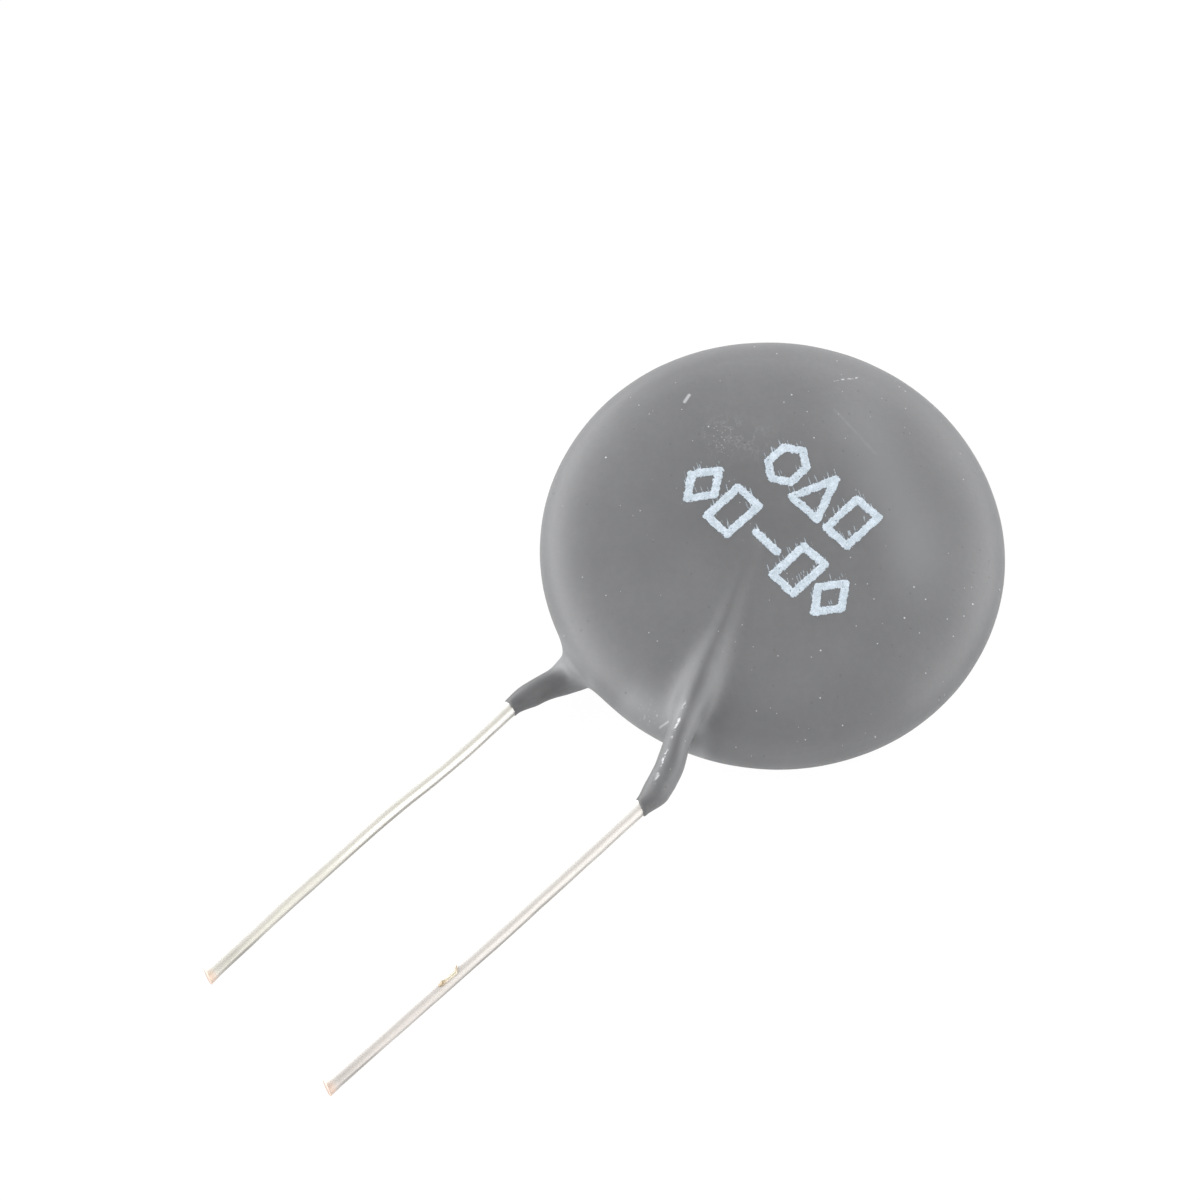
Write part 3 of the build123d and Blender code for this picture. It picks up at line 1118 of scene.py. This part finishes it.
def ink_tree():
    tree, skin_surface, given, result = start_tree(
        "pressed_ink", "Stroke_width Hair Film Cell Seed", Strokes="Object", Finish="Material")
    strokes = node(tree, "GeometryNodeObjectInfo", {"Object": given["Strokes"]}).outputs["Geometry"]
    grid = node(tree, "GeometryNodeMeshGrid", {
        "Size X": print_size[0], "Size Y": print_size[1],
        "Vertices X": print_size[0] / given["Cell"], "Vertices Y": print_size[1] / given["Cell"]}).outputs[0]
    grid = node(tree, "GeometryNodeTransform", {"Geometry": grid, "Translation": print_middle}).outputs[0]
    x, y, _ = parts_of(tree, node(tree, "GeometryNodeInputPosition").outputs[0])
    flat = vector_of(tree, x, y)
    on_stroke = from_lines(tree, strokes, flat)

    # Hairs, long in their own direction
    seed = given["Seed"]
    hair_at = vector_of(tree, x * -hair_y + y * hair_x, (x * -hair_x + y * -hair_y) * 0.10, 0.0)
    hair = noise(tree, hair_at, 12.0, 0.0, 0.5, seed=seed + 5.0).step(0.05, 0.26) * given["Hair"]
    rooted = vector_of(tree, x + hair * hair_x, y + hair * hair_y, 0.0)
    from_ink = on_stroke.do("MINIMUM", from_lines(tree, strokes, rooted) + 0.06)

    # Rough edges and pinholes
    rough = noise(tree, flat, 2.2, 2.0, 0.6, seed=seed) * 0.22
    rough = rough + noise(tree, flat, 6.0, 2.0, 0.7, seed=seed + 1.0) * 0.26
    outside = from_ink - given["Stroke_width"] * 0.5 + rough
    outside = outside.do("MAXIMUM", noise(tree, flat, 6.5, 1.0, 0.6, seed=seed + 2.0) - 0.22)
    bare = {"Geometry": grid, "Selection": outside.do("GREATER_THAN", 0.0)}
    grid = node(tree, "GeometryNodeDeleteGeometry", bare, domain="FACE").outputs[0]

    # The film's height above the skin
    solid = (given["Stroke_width"] * 0.5 - on_stroke).step(-0.10, 0.02)
    grid = store(tree, grid, "solid", solid)
    body = (-outside).step(-0.02, 0.09) * solid + 0.3
    height = given["Film"] * body * (0.8 + noise(tree, flat, 5.0, 2.0, 0.6, seed=seed + 3.0))
    ray = node(tree, "GeometryNodeRaycast", {
        "Target Geometry": skin_surface, "Source Position": vector_of(tree, x, y, ray_from),
        "Ray Direction": (0.0, 0.0, -1.0), "Ray Length": ray_length})
    lifted = vector_math(tree, "ADD", ray.outputs["Hit Position"], vector_of(tree, 0.0, 0.0, height))
    mesh = node(tree, "GeometryNodeSetPosition", {"Geometry": grid, "Position": lifted}).outputs[0]
    mesh = node(tree, "GeometryNodeSetShadeSmooth", {"Geometry": mesh}).outputs[0]
    return hand_over(tree, mesh, given, result)


ink_mesh = grow("print_marks", skin_for_ink, ink_tree(), Strokes=marks, Stroke_width=0.50, Hair=0.60,
                Film=0.03, Cell=0.036, Seed=3.0, Finish=ink_material)
bpy.data.objects.remove(marks)
lay_down("print_marks", ink_mesh)

# %% [markdown]
# ## The parts inside
#
# The ceramic, its silver and the solder are sealed in the skin. Their CAD shapes stay, and each gets
# the finish it has before the dip, because whoever uses the part may cut it open.

# %% Finish the sealed parts
def finish_sealed(parts, name, dark, light, grain_scale, relief, roughness, metallic=0.0):
    material, tree, shader, place = start_material(name)
    grain = noise(tree, place, grain_scale, 4.0, 0.65, seed=1.0)
    clouds = noise(tree, place, grain_scale * 0.12, 2.0, 0.5, seed=2.0)
    colour = blend(tree, (grain * 1.2 + clouds + 0.5).step(0.0, 1.0), dark, light)
    dress(tree, shader, Base_Color=colour, Metallic=metallic, Roughness=roughness + grain * 0.2,
          Normal=bump(tree, grain, relief))
    for part in parts:
        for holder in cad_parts[part].material_slots:
            holder.material = material
    print("finish:", name, "on", parts)


finish_sealed(["ceramic_disc"], "sintered_ceramic", (0.018, 0.017, 0.016, 1), (0.06, 0.055, 0.05, 1),
              grain_scale=5.0, relief=12.0, roughness=0.7)
finish_sealed(["front_electrode", "back_electrode"], "fired_silver", (0.62, 0.61, 0.58, 1),
              (0.82, 0.81, 0.78, 1), grain_scale=3.0, relief=6.0, roughness=0.45, metallic=1.0)
finish_sealed(["front_solder", "back_solder"], "solder", (0.55, 0.55, 0.55, 1),
              (0.75, 0.75, 0.74, 1), grain_scale=1.2, relief=20.0, roughness=0.3, metallic=1.0)

# %% [markdown]
# ## The size of both models
#
# The dressed part's box is printed, as the CAD's box was at the start. The dressed part may be no
# larger than the CAD's box. Both boxes are written down to be compared.

# %% Write the dressed part's box and finish
visual_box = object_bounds()
print("visual box, mm:", [in_mm(corner) for corner in visual_box])
